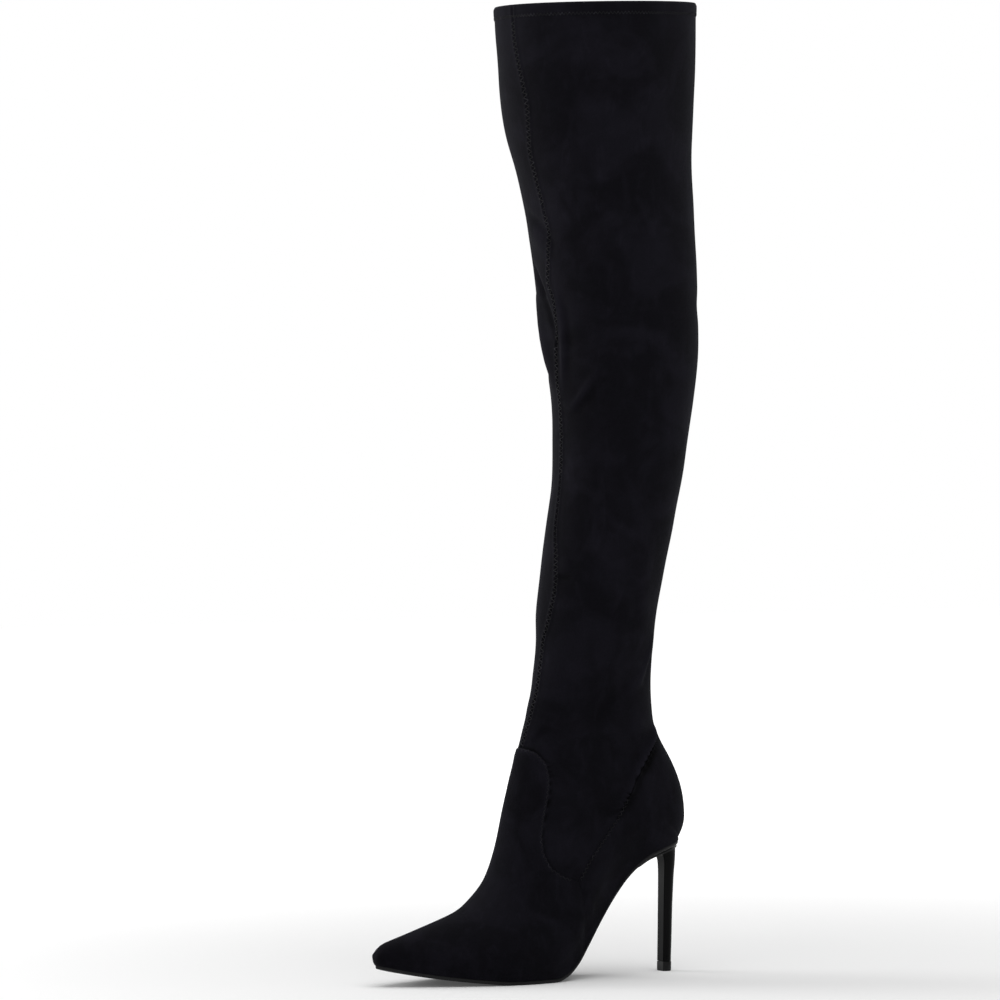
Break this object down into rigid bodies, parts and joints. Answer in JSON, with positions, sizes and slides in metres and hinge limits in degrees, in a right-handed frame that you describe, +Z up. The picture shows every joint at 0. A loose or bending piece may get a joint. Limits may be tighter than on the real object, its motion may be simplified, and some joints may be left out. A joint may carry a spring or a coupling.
{
  "type": "thigh high boot",
  "caption": "Left thigh high pull-on boot in black suede with a pointed toe, raised vamp and counter, folded collar hem and a thin stiletto heel.",
  "frame": {"origin": "on the floor, at the middle of the flat tip of the heel", "axes": "+X to the toe, +Y to the outer side of the left foot, +Z up the leg"},
  "size_m": [0.2488, 0.1273, 0.6665],
  "materials": {
    "suede": "black stretch faux suede, soft nap",
    "overlay_suede": "black faux suede, soft nap",
    "insole_sock": "black woven sock",
    "outsole_resin": "dark grey, satin",
    "heel_gloss": "black gloss",
    "top_piece_rubber": "black, matt"
  },
  "bodies": {
    "root": {"upper": "suede", "vamp": "overlay_suede", "counter": "overlay_suede", "insole": "insole_sock", "outsole": "outsole_resin", "heel": "heel_gloss", "top_piece": "top_piece_rubber"}
  },
  "joints": []
}
